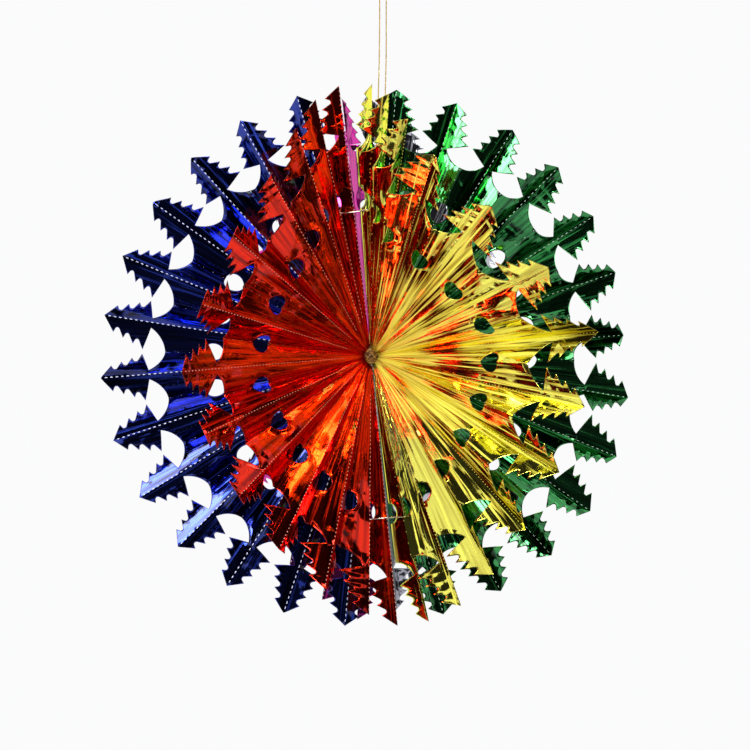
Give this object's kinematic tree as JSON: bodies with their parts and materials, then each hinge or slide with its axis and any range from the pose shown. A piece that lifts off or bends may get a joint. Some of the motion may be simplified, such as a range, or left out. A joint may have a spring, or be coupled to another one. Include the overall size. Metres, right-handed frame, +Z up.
{
  "type": "hanging foil fan ball",
  "caption": "Hanging ball of pleated mirror foil: coloured half-disc leaves round one axis, rims cut into fir trees, holes punched along the folds, on a metallic thread loop.",
  "frame": {"origin": "centre of the ball, where every fold of every leaf would meet", "axes": "+Z up, the way the ball hangs; -Y towards the closed seam between the red and the gold leaf, which is the front of the picture; +X towards the green leaf"},
  "size_m": [0.2953, 0.2462, 0.3563],
  "materials": {
    "red_foil": "mirror-bright metallised plastic film, red",
    "gold_foil": "mirror-bright metallised plastic film, yellow gold",
    "green_foil": "mirror-bright metallised plastic film, green",
    "silver_foil": "mirror-bright metallised plastic film, silver",
    "magenta_foil": "mirror-bright metallised plastic film, magenta",
    "blue_foil": "mirror-bright metallised plastic film, blue",
    "binding_thread": "wound brown-gold thread",
    "clip_wire": "thin pale wire",
    "metallic_thread": "twisted metallic gold thread"
  },
  "bodies": {
    "root": {"leaf_red": "red_foil", "leaf_gold": "gold_foil", "leaf_green": "green_foil", "leaf_silver": "silver_foil", "leaf_magenta": "magenta_foil", "leaf_blue": "blue_foil", "centre_tie": "binding_thread", "seam_clips": "clip_wire", "hanging_thread": "metallic_thread"}
  },
  "joints": []
}
